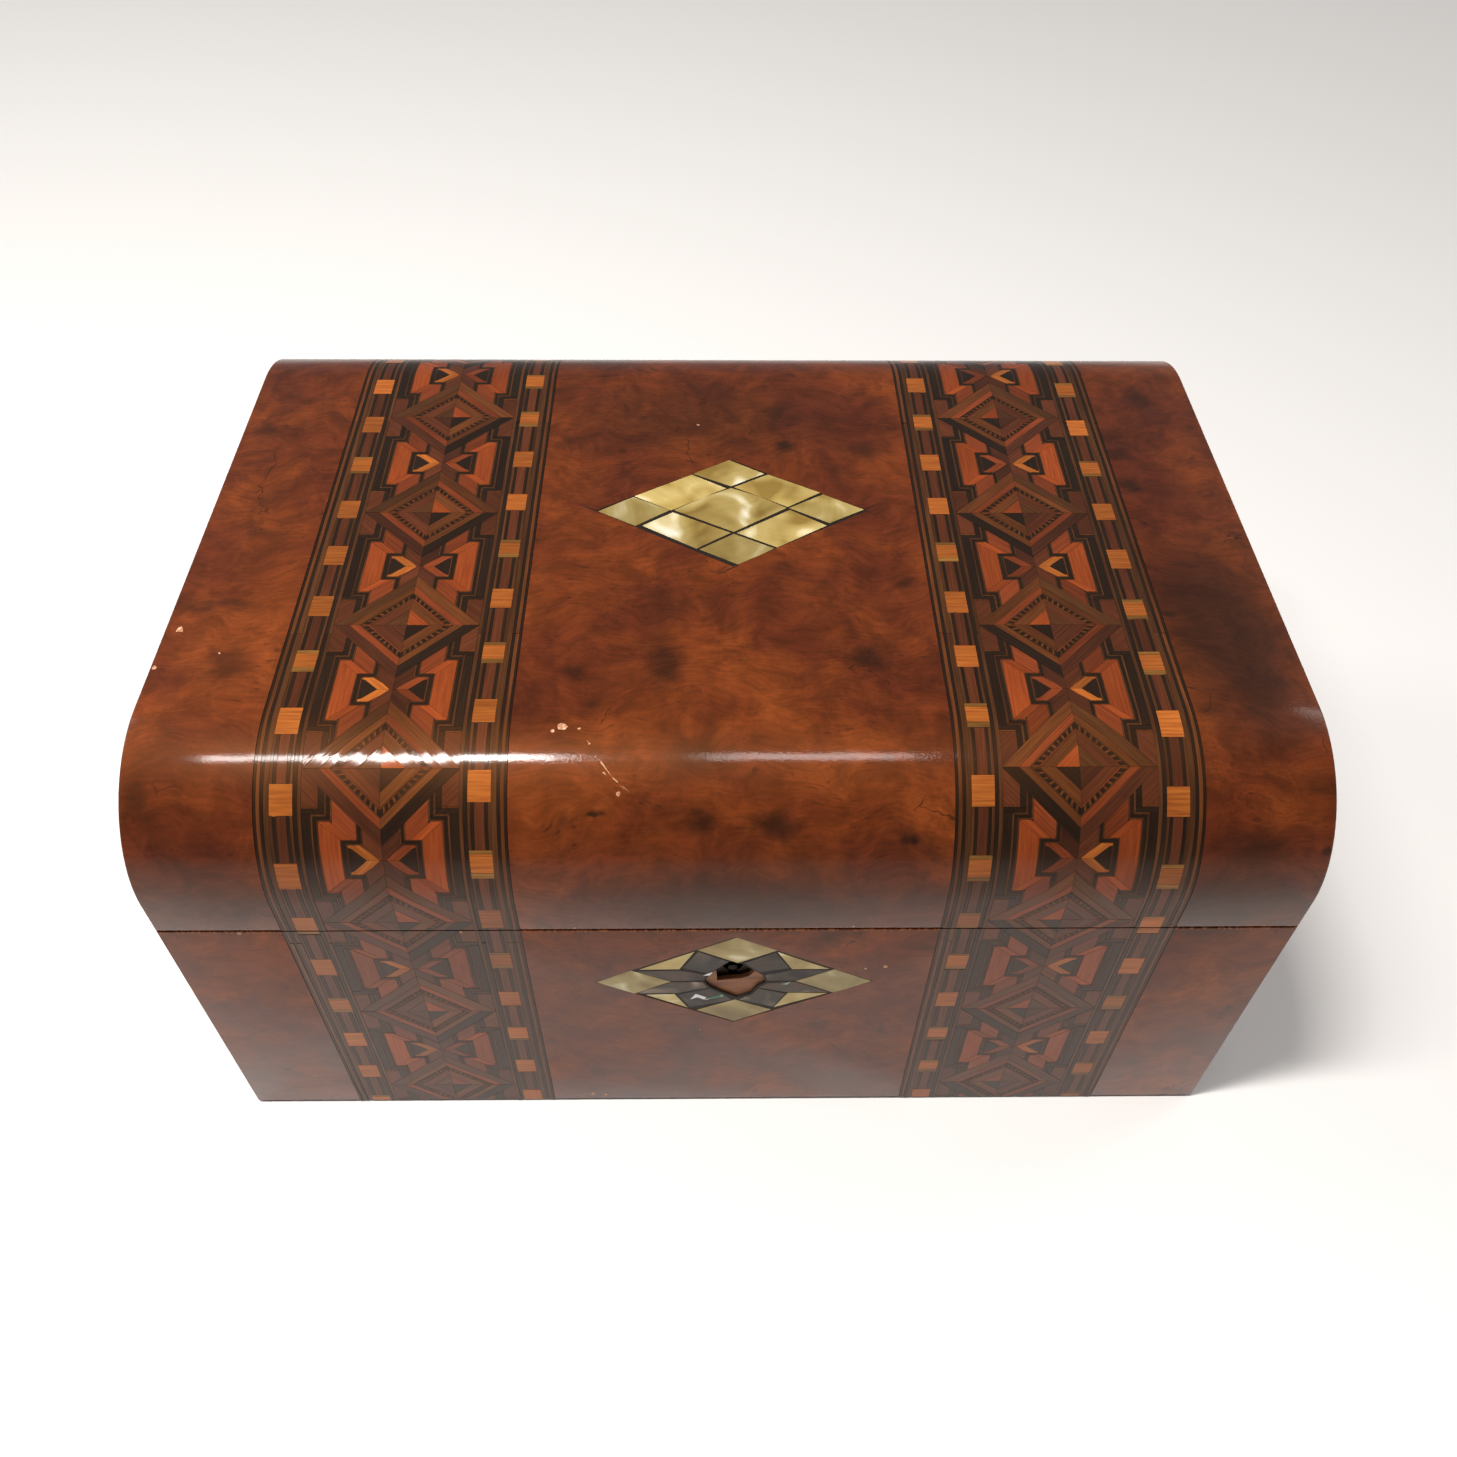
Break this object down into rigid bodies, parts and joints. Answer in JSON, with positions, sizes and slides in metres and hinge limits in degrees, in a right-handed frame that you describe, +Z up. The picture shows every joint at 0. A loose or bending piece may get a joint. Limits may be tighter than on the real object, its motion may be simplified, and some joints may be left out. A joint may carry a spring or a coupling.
{
  "type": "keyed keepsake box",
  "caption": "Keyed keepsake box with a round-shouldered hinged lid, burr veneer, parquetry bands, pearl inlays, box lock and a lift-out tray.",
  "frame": {"origin": "centre of the underside, on the face the box rests on", "axes": "+X along the front to the right, +Y to the back, +Z up; the keyhole faces -Y"},
  "size_m": [0.28, 0.2053, 0.139],
  "materials": {
    "burr_veneer": "French-polished burr walnut",
    "parquetry": "French-polished mosaic of small woods",
    "carcass_wood": "planed, unpolished",
    "tray_wood": "satin wax",
    "pearl": "polished mother of pearl",
    "abalone": "polished abalone and pearl",
    "brass": "aged, half bright",
    "steel": "drawn",
    "baize": "green wool baize",
    "velvet": "claret silk velvet",
    "silk": "claret silk satin"
  },
  "bodies": {
    "base": {"base_back_board": "carcass_wood", "base_back_veneer": "burr_veneer", "base_bottom_board": "carcass_wood", "base_front_board": "carcass_wood", "base_left_end": "carcass_wood", "base_left_veneer": "burr_veneer", "base_right_end": "carcass_wood", "base_right_veneer": "burr_veneer", "floor_pad": "velvet", "front_band_left": "parquetry", "front_band_right": "parquetry", "front_burr_centre": "burr_veneer", "front_burr_left": "burr_veneer", "front_burr_right": "burr_veneer", "hinge_left_base_leaf": "brass", "hinge_left_pin": "steel", "hinge_right_base_leaf": "brass", "hinge_right_pin": "steel", "keyhole_escutcheon": "abalone", "lining_back": "velvet", "lining_front": "velvet", "lining_left": "velvet", "lining_right": "velvet", "lock_cap": "brass", "lock_case": "brass", "lock_drill_pin": "steel", "lock_screw_left": "brass", "lock_screw_right": "brass", "tray_ledge_left": "tray_wood", "tray_ledge_right": "tray_wood", "underside_baize": "baize"},
    "lid": {"hinge_left_lid_leaf": "brass", "hinge_right_lid_leaf": "brass", "lid_back_rail": "carcass_wood", "lid_band_left": "parquetry", "lid_band_right": "parquetry", "lid_burr_centre": "burr_veneer", "lid_burr_left": "burr_veneer", "lid_burr_right": "burr_veneer", "lid_front_rail": "carcass_wood", "lid_left_end": "carcass_wood", "lid_left_veneer": "burr_veneer", "lid_lining_pad": "silk", "lid_pearl_lozenge": "pearl", "lid_right_end": "carcass_wood", "lid_right_veneer": "burr_veneer", "lid_top_board": "carcass_wood", "link_plate": "brass", "link_screw_left": "brass", "link_screw_right": "brass"},
    "tray": {"tray_back": "tray_wood", "tray_divider_left": "tray_wood", "tray_divider_long": "tray_wood", "tray_divider_right": "tray_wood", "tray_floor": "tray_wood", "tray_front": "tray_wood", "tray_left": "tray_wood", "tray_right": "tray_wood"},
    "lock_bolt": {"lock_bolt": "brass"}
  },
  "joints": [
    {"name": "lid_hinge", "type": "hinge", "parent": "base", "child": "lid", "pos_m": [0, 0.1023, 0.0945], "axis": [-1, 0, 0], "range_deg": [0, 100]},
    {"name": "lock_bolt_slide", "type": "slide", "parent": "base", "child": "lock_bolt", "axis": [1, 0, 0], "range_m": [0, 0.005]},
    {"name": "tray_lift", "type": "slide", "parent": "base", "child": "tray", "axis": [0, 0, 1], "range_m": [0, 0.026]}
  ]
}
